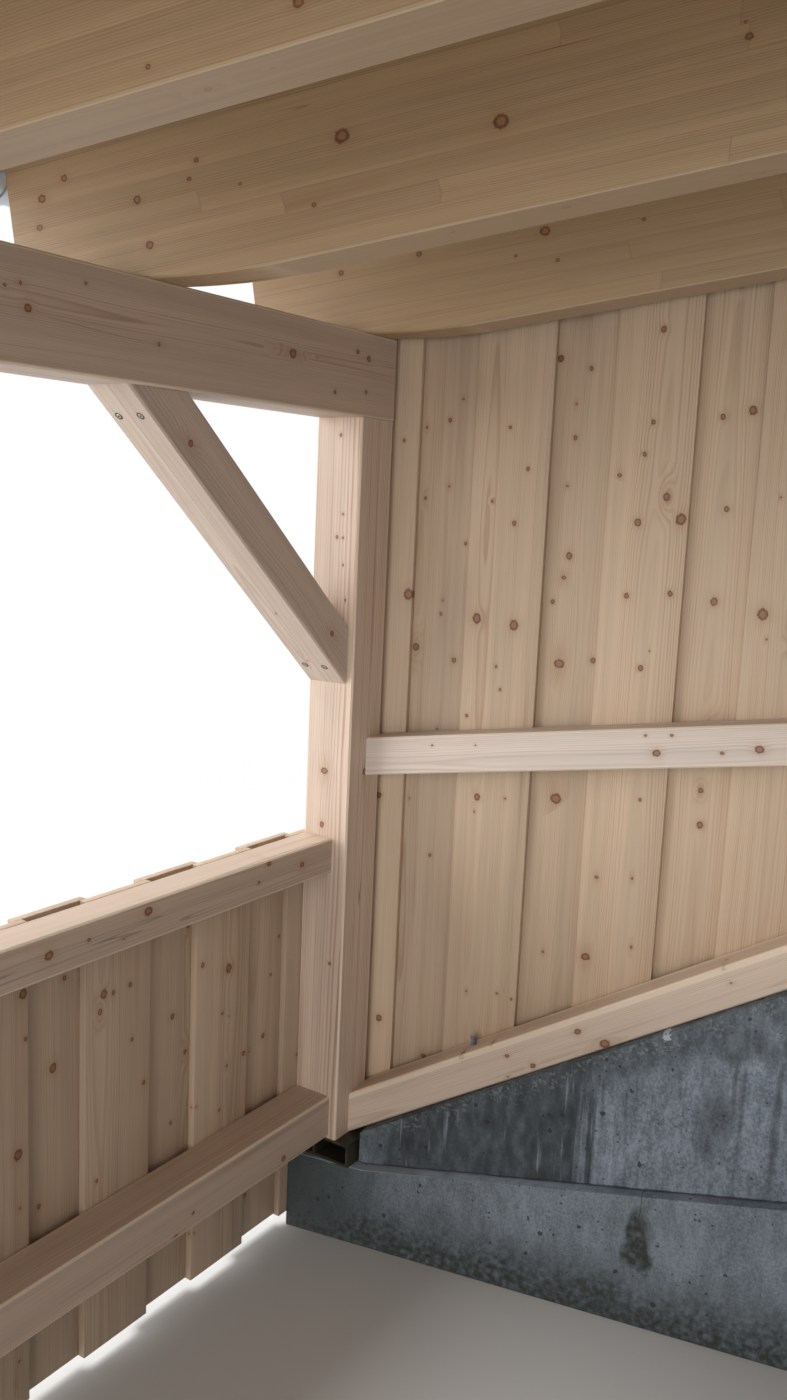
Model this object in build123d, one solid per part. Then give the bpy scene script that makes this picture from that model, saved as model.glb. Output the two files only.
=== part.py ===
from build123d import *
import math
import os

os.makedirs("parts", exist_ok=True)

# A timber carport with a pent roof, in millimetres, +Z up.
# It is set out from the inner bottom corner of the front right post:
# +X runs along the street to the boarded side wall, +Y to the street,
# and Z = 0 is the posts' foot. Posts and plates are square to the street.
# The side wall and the rafters run back from it at an angle, the plan's skew.

plan_skew = 11

# Posts and plates
post_side = 140
front_post_height = 1944
plate_height = 206
frame_depth = 5000
foot_height = 290
timber_ease = 4

# Rafters
rafter_count = 5
rafter_width = 108
rafter_depth = 330
rafter_pitch_along = 765
roof_pitch = 8.95
eave_overhang = 175
seat_past_plate = 156
seat_radius = 2000

# Roof skin
deck_thickness = 24
deck_past_tail = 25
verge_overhang = 150
verge_thickness = 24
verge_height = 180
sheet_thickness = 1
sheet_past_deck = 12
drip_height = 20

# Gutter
gutter_radius = 64
gutter_thickness = 1
gutter_drop = 10
gutter_from_tail = 26
bracket_width = 25
bracket_thickness = 4
bracket_strap_height = 90
bracket_clearance = 0.3

# Knee braces
brace_width = 120
brace_depth = 114
brace_reach = 778
brace_drop = 677

# Street parapet
sill_side = 94
sill_top = 851
parapet_rail_side = 117
parapet_rail_base = 6
board_ground_gap = 40

# Board-on-board cladding
board_width = 200
board_thickness = 20
street_board_gap = 157
side_board_gap = 152
board_lap = 20
board_wall_gap = 10
board_deck_gap = 5
batten_thickness = 30
batten_height = 120

# Side wall rails
mid_rail_depth = 90
mid_rail_height = 100
mid_rail_base = 1020
mid_rail_pitch = 8.3
bottom_rail_depth = 105
bottom_rail_height = 100

# Concrete side wall, poured in two lifts
wall_pitch = 29.8
wall_run = 1600
wall_inward = 164
wall_outward = 76
wall_step = 30
joint_pitch = 9.6
shoe_wall_gap = 5

# Steel shoes and footings
shoe_height = 65
shoe_past_post = 45
shoe_wall = 8
pier_side = 300

# Lines that follow from the sizes
skew_slope = math.tan(math.radians(plan_skew))
skew_cosine = math.cos(math.radians(plan_skew))
skew_sine = math.sin(math.radians(plan_skew))
roof_slope = math.tan(math.radians(roof_pitch))
roof_cosine = math.cos(math.radians(roof_pitch))
wall_slope = math.tan(math.radians(wall_pitch))
rafter_across = rafter_width / skew_cosine
rafter_inset = batten_thickness / skew_cosine
frame_length = (rafter_count - 1) * rafter_pitch_along + rafter_across + 2 * rafter_inset
x_right = post_side
x_left = x_right - frame_length
y_street = post_side
y_rear = y_street - frame_depth
y_rear_inner = y_rear + post_side
rear_shift = (y_street - y_rear_inner) * skew_slope
ground = -foot_height
plate_top_front = front_post_height + plate_height
y_seat_end = -seat_past_plate
y_tail_front = y_street + eave_overhang
y_tail_rear = y_rear - eave_overhang


def drift(y):
    """How far a line along the skew has moved in X at y, counted from the street face."""
    return (y_street - y) * skew_slope


def rafter_under(y):
    return plate_top_front + roof_slope * (y_seat_end - y)


def rafter_top(y):
    return rafter_under(y) + rafter_depth / roof_cosine


def deck_top(y):
    return rafter_top(y) + deck_thickness / roof_cosine


plate_top_rear = rafter_under(y_rear)
plate_base_rear = plate_top_rear - plate_height
tail_height = (rafter_top(y_tail_front) - plate_top_front) * roof_cosine
y_tail_top = y_tail_front + tail_height * roof_slope * roof_cosine
z_tail_top = plate_top_front + tail_height * roof_cosine
x_verge_left = x_left - verge_overhang
x_verge_right = x_right + verge_overhang
y_deck_front = y_tail_top + deck_past_tail
y_deck_rear = y_tail_rear - deck_past_tail

# The side wall has its own frame: its boards' inner face is X = 0, and the
# distance along it is counted from the street corner towards the rear.
side_wall_place = Pos(x_right, y_street, 0) * Rot(0, 0, plan_skew)
side_length = frame_depth / skew_cosine
slope_start = (post_side - bottom_rail_depth * skew_sine) / skew_cosine
slope_end = slope_start + wall_run
y_lift_end = -shoe_past_post - shoe_wall_gap
lift_start = (y_street - y_lift_end) / skew_cosine
board_step = lift_start - board_wall_gap
joint_rise = (slope_end - lift_start) * math.tan(math.radians(joint_pitch))


def wall_top(along):
    return min(max(along - slope_start, 0), wall_run) * wall_slope


rear_right_foot = wall_top(side_length) + shoe_height


def block(x0, x1, y0, y1, z0, z1):
    middle = Pos((x0 + x1) / 2, (y0 + y1) / 2, (z0 + z1) / 2)
    return middle * Box(x1 - x0, y1 - y0, z1 - z0)


def outline(points):
    return make_face(Polyline(*points, close=True))


def front_profile(points, y0, y1):
    return extrude(Plane.XZ.offset(-y1) * outline(points), amount=y1 - y0)


def skewed(face, x0, x1):
    """A (Y, Z) face carried along the skew: x0 and x1 are its sides at the street face."""
    box = face.bounding_box()
    y0, y1 = box.min.X, box.max.X
    plan = [(x0 + drift(y0), y0), (x1 + drift(y0), y0), (x1 + drift(y1), y1), (x0 + drift(y1), y1)]
    column = extrude(Pos(0, 0, box.min.Y) * outline(plan), amount=box.max.Y - box.min.Y)
    start = x0 + drift(y1)
    return extrude(Plane.YZ.offset(start) * face, amount=x1 + drift(y0) - start) & column


def wall_profile(points, x0, x1):
    """Solid in the side wall's frame from points (distance along it, height)."""
    face = outline([(-along, height) for along, height in points])
    return side_wall_place * extrude(Plane.YZ.offset(x0) * face, amount=x1 - x0)


def between(piece, y0, y1):
    """The stretch of a piece from y0 to y1, cut square to the street."""
    margin = 1
    box = piece.bounding_box()
    keep = block(box.min.X - margin, box.max.X + margin, y0, y1, box.min.Z - margin, box.max.Z + margin)
    return piece & keep


def eased(timber, axis):
    return chamfer(timber.edges().filter_by(axis), timber_ease)


def eased_long(timber):
    return chamfer(timber.edges().filter_by(lambda e: e.length > 2 * post_side), timber_ease)


def post(x0, y0, z0, z1):
    return eased(block(x0, x0 + post_side, y0, y0 + post_side, z0, z1), Axis.Z)


def plate(x0, y0, top):
    beam = block(x0, x0 + frame_length, y0, y0 + post_side, top - plate_height, top)
    return eased(beam, Axis.X)


def shoe(x0, y_post, base, inward):
    """Steel box under a post, open at its ends, reaching past the post towards the bay."""
    y0 = y_post + min(inward, 0) * shoe_past_post
    y1 = y_post + post_side + max(inward, 0) * shoe_past_post
    top = base + shoe_height
    box = block(x0, x0 + post_side, y0, y1, base, top)
    cell = block(x0, x0 + post_side, y0 + shoe_wall, y1 - shoe_wall, base + shoe_wall, top - shoe_wall)
    web_y = y_post + post_side / 2
    web = block(x0, x0 + post_side, web_y - shoe_wall / 2, web_y + shoe_wall / 2, base, top)
    return box - cell + web


def pier(x_post, y0):
    x0 = x_post + (post_side - pier_side) / 2
    return block(x0, x0 + pier_side, y0, y0 + pier_side, ground, -shoe_height)


def brace(x_post, side, y0, plate_base):
    """Knee brace: side is -1 where it leans away from the post towards -X, else 1."""
    angle = math.atan2(brace_drop, brace_reach)
    points = [
        (x_post + side * brace_reach, plate_base),
        (x_post, plate_base - brace_drop),
        (x_post, plate_base - brace_drop + brace_depth / math.cos(angle)),
        (x_post + side * (brace_reach - brace_depth / math.sin(angle)), plate_base),
    ]
    timber = front_profile(points, y0, y0 + brace_width)
    long_edges = timber.edges().filter_by(lambda e: abs(e.tangent_at(0.5).Y) < 0.5 and e.length > brace_drop)
    return chamfer(long_edges, timber_ease)


def parapet_sill():
    y0 = y_street - sill_side
    rail = block(x_left + post_side, x_right - post_side, y0, y_street, sill_top - sill_side, sill_top)
    return eased(rail, Axis.X)


def parapet_bottom_rail():
    top = parapet_rail_base + parapet_rail_side
    y0 = y_street - parapet_rail_side
    rail = block(x_left + post_side, x_right - post_side, y0, y_street, parapet_rail_base, top)
    return eased(rail, Axis.X)


def board_strips(length, gap):
    """Inner boards, and the outer boards that lap the gaps, as distances from the corner."""
    starts = [0]
    while length - starts[-1] - board_width - gap > board_lap:
        starts.append(starts[-1] + board_width + gap)
    inner = [(start, min(start + board_width, length)) for start in starts]
    gap_ends = starts[1:] + [length]
    outer = []
    for (_, board_end), gap_end in zip(inner, gap_ends):
        if gap_end > board_end:
            outer.append((board_end - board_lap, min(gap_end + board_lap, length)))
    return inner, outer


def parapet_boards(strips, layer):
    y0 = y_street + layer * board_thickness
    base = ground + board_ground_gap
    return [block(x_right - b, x_right - a, y0, y0 + board_thickness, base, sill_top) for a, b in strips]


def board_foot(a, b):
    """Lower edge of a side board from a to b, clear of the concrete below it."""
    low = board_wall_gap - shoe_height
    foot = [(a, low)] if a < board_step else [(a, wall_top(a) + board_wall_gap)]
    if a < board_step < b:
        foot += [(board_step, low), (board_step, wall_top(board_step) + board_wall_gap)]
    if a < slope_end < b:
        foot.append((slope_end, wall_top(slope_end) + board_wall_gap))
    foot.append((b, wall_top(b) + board_wall_gap))
    return foot


def side_boards(strips, layer):
    x0 = layer * board_thickness
    x1 = x0 + board_thickness
    pieces = []
    for a, b in strips:
        y_a = y_street + x1 * skew_sine - a * skew_cosine
        y_b = y_street + x1 * skew_sine - b * skew_cosine
        head = [(b, rafter_top(y_b) - board_deck_gap), (a, rafter_top(y_a) - board_deck_gap)]
        pieces.append(wall_profile(board_foot(a, b) + head, x0, x1))
    return pieces


def side_top_batten():
    """Batten on the end rafter's outer face, which carries the boards' heads."""
    points = [
        (y_rear, rafter_top(y_rear)),
        (y_street, rafter_top(y_street)),
        (y_street, rafter_top(y_street) - batten_height / roof_cosine),
        (y_rear, rafter_top(y_rear) - batten_height / roof_cosine),
    ]
    return skewed(outline(points), x_right - rafter_inset, x_right)


def side_mid_rail():
    slope = math.tan(math.radians(mid_rail_pitch))
    height = mid_rail_height / math.cos(math.radians(mid_rail_pitch))
    base_start = mid_rail_base - slope * post_side / skew_cosine
    base_end = base_start + slope * side_length
    points = [(0, base_start), (0, base_start + height), (side_length, base_end + height), (side_length, base_end)]
    return eased_long(between(wall_profile(points, -mid_rail_depth, 0), y_rear_inner, 0))


bottom_rail_mitre = bottom_rail_height * math.tan(math.radians(wall_pitch / 2))


def side_bottom_rail_sloped():
    height = bottom_rail_height / math.cos(math.radians(wall_pitch))
    top = wall_top(slope_end)
    before = -slope_start * wall_slope
    points = [
        (0, before),
        (0, before + height),
        (slope_end - bottom_rail_mitre, top + bottom_rail_height),
        (slope_end, top),
    ]
    return eased_long(between(wall_profile(points, -bottom_rail_depth, 0), y_rear, 0))


def side_bottom_rail_level():
    base = wall_top(slope_end)
    points = [
        (slope_end, base),
        (slope_end - bottom_rail_mitre, base + bottom_rail_height),
        (side_length, base + bottom_rail_height),
        (side_length, base),
    ]
    y_end = y_rear_inner + shoe_past_post + shoe_wall_gap
    return eased_long(between(wall_profile(points, -bottom_rail_depth, 0), y_end, 0))


def joint_line():
    """Top of the lower lift: level under the shoe, rising, then level again."""
    top = joint_rise - shoe_height
    return [(lift_start, -shoe_height), (slope_end, top), (side_length, top)]


def concrete_lower_lift():
    run_out = wall_inward
    points = [(side_length, ground), (-run_out, ground), (-run_out, -shoe_height)] + joint_line()
    lift = wall_profile(points, -wall_inward, wall_outward)
    return between(lift, lift.bounding_box().min.Y - 1, y_street)


def concrete_upper_lift():
    top = wall_top(slope_end)
    points = [(slope_start, -shoe_height)] + joint_line()
    points += [(side_length, top), (slope_end, top), (slope_start, 0)]
    lift = wall_profile(points, wall_step - wall_inward, wall_outward)
    return between(lift, lift.bounding_box().min.Y - 1, y_lift_end)


def rafter(x0):
    points = [
        (y_tail_front, plate_top_front),
        (y_seat_end, plate_top_front),
        (y_tail_rear, rafter_under(y_tail_rear)),
        (y_tail_rear + rafter_depth * roof_slope * roof_cosine, rafter_under(y_tail_rear) + rafter_depth * roof_cosine),
        (y_tail_top, z_tail_top),
    ]
    side = outline(points)
    seat_corner = side.vertices().sort_by_distance((y_seat_end, plate_top_front, 0))[0]
    timber = skewed(fillet(seat_corner, seat_radius), x0, x0 + rafter_across)
    under = timber.edges().filter_by(lambda e: abs(e.tangent_at(0.5).X) < abs(e.tangent_at(0.5).Y) and is_under(e.center()))
    timber = chamfer(under, timber_ease)
    x_notch = x0 + drift(y_rear_inner)
    x_notch_end = x0 + rafter_across + drift(y_rear)
    return timber - block(x_notch, x_notch_end, y_rear, y_rear_inner, plate_base_rear, plate_top_rear)


def is_under(point):
    return point.Z < rafter_top(point.Y) - rafter_depth / 2


def rafter_starts():
    first = x_left + rafter_inset
    return [first + number * rafter_pitch_along for number in range(rafter_count)]


def roof_layer(height_under, height_over, y0, y1, x0, x1):
    points = [
        (y0, rafter_top(y0) + height_under / roof_cosine),
        (y1, rafter_top(y1) + height_under / roof_cosine),
        (y1, rafter_top(y1) + height_over / roof_cosine),
        (y0, rafter_top(y0) + height_over / roof_cosine),
    ]
    return skewed(outline(points), x0, x1)


def roof_deck():
    return roof_layer(0, deck_thickness, y_deck_rear, y_deck_front, x_verge_left, x_verge_right)


verge_across = verge_thickness / skew_cosine


def verge(x0):
    return roof_layer(deck_thickness - verge_height, deck_thickness, y_deck_rear, y_deck_front, x0, x0 + verge_across)


def roof_covering():
    """Thin sheet over the deck and verges, turned down at both eaves."""
    y0 = y_deck_rear - sheet_past_deck
    y1 = y_deck_front + sheet_past_deck
    y0_inner = y0 + sheet_thickness
    y1_inner = y1 - sheet_thickness
    over = sheet_thickness / roof_cosine
    points = [
        (y0, deck_top(y0) - drip_height),
        (y0, deck_top(y0) + over),
        (y1, deck_top(y1) + over),
        (y1, deck_top(y1) - drip_height),
        (y1_inner, deck_top(y1) - drip_height),
        (y1_inner, deck_top(y1_inner)),
        (y0_inner, deck_top(y0_inner)),
        (y0_inner, deck_top(y0) - drip_height),
    ]
    beyond = verge_across + sheet_past_deck
    return skewed(outline(points), x_verge_left - beyond, x_verge_right + beyond)


gutter_rim = z_tail_top - gutter_drop
gutter_y = y_tail_top + gutter_from_tail + gutter_radius


def half_ring(inner, outer):
    ring = Circle(outer) - Circle(inner) - Pos(0, outer) * Rectangle(4 * outer, 2 * outer)
    return Pos(gutter_y, gutter_rim) * ring


def half_disc(radius):
    return Pos(gutter_y, gutter_rim) * (Circle(radius) - Pos(0, radius) * Rectangle(4 * radius, 2 * radius))


def gutter():
    """Half-round trough with a closing plate at each end."""
    x0 = x_verge_left + drift(y_deck_front)
    x1 = x_verge_right + drift(y_deck_front)
    ring = half_ring(gutter_radius - gutter_thickness, gutter_radius)
    trough = extrude(Plane.YZ.offset(x0) * ring, amount=x1 - x0)
    disc = half_disc(gutter_radius)
    left_cap = extrude(Plane.YZ.offset(x0) * disc, amount=gutter_thickness)
    right_cap = extrude(Plane.YZ.offset(x1 - gutter_thickness) * disc, amount=gutter_thickness)
    return trough + left_cap + right_cap


def tail_face(z):
    """Where the rafters' square-cut tail is at height z."""
    return y_tail_front + (z - plate_top_front) * roof_slope


def gutter_bracket(x_middle):
    inner = gutter_radius + bracket_clearance
    foot = gutter_rim - bracket_strap_height
    arm_base = gutter_rim - bracket_thickness
    strap = [
        (tail_face(foot), foot),
        (tail_face(foot) + bracket_thickness, foot),
        (tail_face(gutter_rim) + bracket_thickness, gutter_rim),
        (tail_face(gutter_rim), gutter_rim),
    ]
    arm = [
        (tail_face(arm_base), arm_base),
        (gutter_y - inner, arm_base),
        (gutter_y - inner, gutter_rim),
        (tail_face(gutter_rim), gutter_rim),
    ]
    shape = half_ring(inner, inner + bracket_thickness) + outline(strap) + outline(arm)
    return extrude(Plane.YZ.offset(x_middle - bracket_width / 2) * shape, amount=bracket_width)


def build():
    starts = rafter_starts()
    x_right_post = x_right - post_side
    x_left_inner = x_left + post_side
    y_brace_front = y_street - brace_width
    street_inner, street_outer = board_strips(frame_length, street_board_gap)
    side_inner, side_outer = board_strips(side_length, side_board_gap)
    tail_drift = drift(y_tail_top) + rafter_across / 2
    pieces = {
        "concrete_lower_lift": concrete_lower_lift(),
        "concrete_upper_lift": concrete_upper_lift(),
        "pier_front_left": pier(x_left, y_street - pier_side),
        "pier_rear_left": pier(x_left + rear_shift, y_rear),
        "post_front_right": post(x_right_post, 0, 0, front_post_height),
        "post_front_left": post(x_left, 0, 0, front_post_height),
        "post_rear_right": post(x_right_post + rear_shift, y_rear, rear_right_foot, plate_base_rear),
        "post_rear_left": post(x_left + rear_shift, y_rear, 0, plate_base_rear),
        "post_base_front_right": shoe(x_right_post, 0, -shoe_height, -1),
        "post_base_front_left": shoe(x_left, 0, -shoe_height, -1),
        "post_base_rear_right": shoe(x_right_post + rear_shift, y_rear, wall_top(side_length), 1),
        "post_base_rear_left": shoe(x_left + rear_shift, y_rear, -shoe_height, 1),
        "plate_front": plate(x_left, 0, plate_top_front),
        "plate_rear": plate(x_left + rear_shift, y_rear, plate_top_rear),
        "brace_front_right": brace(x_right_post, -1, y_brace_front, front_post_height),
        "brace_front_left": brace(x_left_inner, 1, y_brace_front, front_post_height),
        "brace_rear_right": brace(x_right_post + rear_shift, -1, y_rear, plate_base_rear),
        "brace_rear_left": brace(x_left_inner + rear_shift, 1, y_rear, plate_base_rear),
        "parapet_sill": parapet_sill(),
        "parapet_bottom_rail": parapet_bottom_rail(),
        "parapet_inner_boards": Compound(children=parapet_boards(street_inner, 0)),
        "parapet_outer_boards": Compound(children=parapet_boards(street_outer, 1)),
        "side_top_batten": side_top_batten(),
        "side_mid_rail": side_mid_rail(),
        "side_bottom_rail_sloped": side_bottom_rail_sloped(),
        "side_bottom_rail_level": side_bottom_rail_level(),
        "side_inner_boards": Compound(children=side_boards(side_inner, 0)),
        "side_outer_boards": Compound(children=side_boards(side_outer, 1)),
        "roof_deck": roof_deck(),
        "roof_covering": roof_covering(),
        "verge_left": verge(x_verge_left - verge_across),
        "verge_right": verge(x_verge_right),
        "gutter": gutter(),
        "gutter_brackets": Compound(children=[gutter_bracket(x + tail_drift) for x in starts]),
    }
    for number, x0 in enumerate(starts, 1):
        pieces[f"rafter_{number}"] = rafter(x0)
    return pieces


def main():
    """The origin is the middle of the carport's box, at the level it stands on."""
    pieces = build()
    boxes = [piece.bounding_box() for piece in pieces.values()]
    x_middle = (min(box.min.X for box in boxes) + max(box.max.X for box in boxes)) / 2
    y_middle = (min(box.min.Y for box in boxes) + max(box.max.Y for box in boxes)) / 2
    to_origin = Pos(-x_middle, -y_middle, -min(box.min.Z for box in boxes))
    for name, piece in pieces.items():
        export_step(to_origin * piece, f"parts/{name}.step")


main()
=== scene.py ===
import math
import bmesh
import bpy
from mathutils import Matrix, Vector


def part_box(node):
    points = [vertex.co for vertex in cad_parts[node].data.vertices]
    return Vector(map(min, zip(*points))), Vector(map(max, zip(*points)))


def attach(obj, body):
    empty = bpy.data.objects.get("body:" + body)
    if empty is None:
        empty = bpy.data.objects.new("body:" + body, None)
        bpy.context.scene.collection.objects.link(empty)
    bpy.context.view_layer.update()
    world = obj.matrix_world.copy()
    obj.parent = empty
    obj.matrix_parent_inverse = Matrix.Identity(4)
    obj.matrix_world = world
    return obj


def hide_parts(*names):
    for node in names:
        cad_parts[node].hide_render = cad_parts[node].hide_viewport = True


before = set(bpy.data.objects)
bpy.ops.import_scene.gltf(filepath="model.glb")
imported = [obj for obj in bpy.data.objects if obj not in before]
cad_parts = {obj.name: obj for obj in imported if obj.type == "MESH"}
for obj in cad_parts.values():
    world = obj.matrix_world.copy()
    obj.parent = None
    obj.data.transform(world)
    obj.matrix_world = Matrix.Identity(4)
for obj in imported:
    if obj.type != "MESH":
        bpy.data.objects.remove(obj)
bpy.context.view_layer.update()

# Places are counted from the inner bottom corner of the front right post,
# +X along the front to the boarded wall, +Y out of the front, in metres.
def boxOf(nodeName):
    return [Vector(place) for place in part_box(nodeName)]


corner, postTop = boxOf("post_front_right")
postSide = postTop.x - corner.x
skew = math.radians(11)  # the boarded wall and the rafters, off square to the front
roofPitch = math.radians(8.95)
midPitch = math.radians(8.3)  # the side wall's middle rail, then its low rail on the sloping concrete
lowPitch = math.radians(29.8)
wallAlong = Vector((math.sin(skew), -math.cos(skew), 0))
wallOut = Vector((math.cos(skew), math.sin(skew), 0))
wallStart = corner + Vector((postSide, postSide, 0))
roofUp = Vector((0, math.sin(roofPitch), math.cos(roofPitch)))
rafterAlong = Vector((math.sin(skew), -math.cos(skew), math.tan(roofPitch) * math.cos(skew)))
rafterAlong.normalize()
upward = Vector((0, 0, 1))
streetward = Vector((0, 1, 0))
rightward = Vector((1, 0, 0))
leftward = Vector((-1, 0, 0))
print("frame loaded")


def pickNone():
    bpy.ops.object.select_all(action="DESELECT")


# Camera: where the photograph was taken from, inside the carport
photoCamera = {
    "place": (-2.5305, -1.7776, 1.7277),
    "turn": (80.909, -2.5, -56.516),
    "lens": 31.1,
}
pickNone()
turn = [math.radians(angle) for angle in photoCamera["turn"]]
bpy.ops.object.camera_add(location=corner + Vector(photoCamera["place"]), rotation=turn)
camera = bpy.context.object
camera.data.lens = photoCamera["lens"]
bpy.context.scene.camera = camera
bpy.context.scene.view_settings.view_transform = "Standard"


# Node trees: the bench holds the tree in hand, and sums are written with wires, which are nodes' outputs
bench = {"tree": None}


class wire:
    def __init__(self, socket):
        self.socket = socket

    def __add__(self, other):
        return calc("ADD", self, other)

    def __sub__(self, other):
        return calc("SUBTRACT", self, other)

    def __rsub__(self, other):
        return calc("SUBTRACT", other, self)

    def __mul__(self, other):
        return calc("MULTIPLY", self, other)

    def __truediv__(self, other):
        return calc("DIVIDE", self, other)

    def __pow__(self, other):
        return calc("POWER", self, other)

    def __abs__(self):
        return calc("ABSOLUTE", self)


def feed(socket, value):
    if isinstance(value, wire):
        bench["tree"].links.new(value.socket, socket)
    elif isinstance(value, (tuple, list)) and len(value) == 3 and len(socket.default_value) == 4:
        socket.default_value = (*value, 1)
    else:
        socket.default_value = value


def feedAll(node, values):
    # values are told by the names or the numbers of the node's inputs
    for name, value in values.items():
        feed(node.inputs[name], value)
    return node


def addNode(kind, values=None, **settings):
    node = bench["tree"].nodes.new(kind)
    for name, value in settings.items():
        setattr(node, name, value)
    return feedAll(node, values or {})


def wireFrom(kind, values=None, output=0, **settings):
    return wire(addNode(kind, values, **settings).outputs[output])


def wiresFrom(kind, values=None, **settings):
    return {socket.name: wire(socket) for socket in addNode(kind, values, **settings).outputs}


def calc(operation, *values):
    return wireFrom("ShaderNodeMath", dict(enumerate(values)), operation=operation)


def scaled(value, factor, extra):
    return calc("MULTIPLY_ADD", value, factor, extra)


def most(*values):
    return calc("MAXIMUM", *values)


def least(*values):
    return calc("MINIMUM", *values)


def vectorCalc(operation, *values):
    output = "Value" if operation == "LENGTH" else 0
    return wireFrom("ShaderNodeVectorMath", dict(enumerate(values)), output, operation=operation)


def split(vector):
    return list(wiresFrom("ShaderNodeSeparateXYZ", {0: vector}).values())


def combine(*values):
    return wireFrom("ShaderNodeCombineXYZ", dict(enumerate(values)))


def stretch(place, factors):
    return vectorCalc("MULTIPLY", place, factors)


def noiseAt(place, factors=None, detail=2.0, output="Fac"):
    place = stretch(place, factors) if factors else place
    return wireFrom("ShaderNodeTexNoise", {"Vector": place, "Scale": 1, "Detail": detail}, output)


def smooth(value, low, high):
    values = {"Value": value, "From Min": low, "From Max": high}
    return wireFrom("ShaderNodeMapRange", values, interpolation_type="SMOOTHSTEP")


def mix(factor, first, second, kind="MIX"):
    values = {0: factor, 6: first, 7: second}
    return wireFrom("ShaderNodeMix", values, 2, data_type="RGBA", blend_type=kind)


def grey(value):
    return combine(value, value, value)


def shaded(colour, tone):
    return mix(1.0, colour, tone, "MULTIPLY")


def randomOf(number):
    return split(wireFrom("ShaderNodeTexWhiteNoise", {"W": number}, "Color", noise_dimensions="1D"))


def ramp(value, stops):
    node = addNode("ShaderNodeValToRGB", {0: value})
    points = node.color_ramp.elements
    while len(points) < len(stops):
        points.new(1)
    for point, (position, colour) in zip(points, stops):
        point.position = position
        point.color = (*colour, 1)
    return wire(node.outputs[0])


def newMaterial(name):
    material = bpy.data.materials.new(name)
    material.use_nodes = True
    bench["tree"] = material.node_tree
    return material, material.node_tree.nodes["Principled BSDF"]


def addRelief(shader, height, strength, depth):
    bump = wireFrom("ShaderNodeBump", {"Strength": strength, "Distance": depth, "Height": height})
    feed(shader.inputs["Normal"], bump)


def objectPlace():
    return wireFrom("ShaderNodeTexCoord", output="Object")


def localPlace(centre, along, up):
    # X along the grain, Z up the piece, in metres from its middle
    basis = Matrix((along, up.cross(along), up)).transposed()
    values = {"Vector": objectPlace(), "Location": centre, "Rotation": basis.to_euler()}
    return wireFrom("ShaderNodeMapping", values, vector_type="TEXTURE")


# Spruce: growth rings round a pith, knots that grow out from it, and grain that swerves round them
spruce = {
    "knotPitch": 0.17,
    "knotAngle": 0.85,
    "knotLeast": 0.002,
    "knotSpread": 0.0095,
    "knotReach": 0.045,  # how deep a listed knot goes behind its face
    "knotOval": 0.85,  # how a knot's size along the grain is reduced
    "sway": 0.034,
    "timberRing": 0.0036,
    "boardRing": 0.0031,
    "rafterRing": 0.0038,
    "fibre": (7, 330, 330),  # stretches are in waves to the metre, along and across
    "streaks": (0.7, 26, 26),
    "redTone": (0.34, 0.15, 0.07),
    "haloTone": (0.36, 0.17, 0.075),
    "crackTone": (0.07, 0.035, 0.02),
    "glueTone": (0.23, 0.12, 0.075),
    # painted highlight along the eased edges
    "edgeHighlightTone": (0.82, 0.68, 0.52),
    # painted shade in the screws' countersinks
    "countersinkShadeTone": (0.015, 0.011, 0.008),
    "heart": (  # a knot's colours from its middle to its rim
        (0.0, (0.19, 0.08, 0.037)),
        (0.25, (0.35, 0.165, 0.083)),
        (0.55, (0.29, 0.127, 0.061)),
        (0.75, (0.165, 0.073, 0.038)),
        (0.95, (0.12, 0.054, 0.029)),
    ),
    "relief": 0.25,
    "reliefDepth": 0.001,
}
farOff = 9.0  # so far from a knot, in knot radii, that none shows


def lengthOf(x, y):
    return vectorCalc("LENGTH", combine(x, y, 0.0))


spruceInputs = {
    "Place": "Vector", "Seed": "Float", "Pale": "Color", "Late": "Color", "Ring Pitch": "Float",
    "Knot Size": "Float", "Cracks": "Float", "Knot Share": "Float", "Placed Knot": "Float",
}


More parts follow.
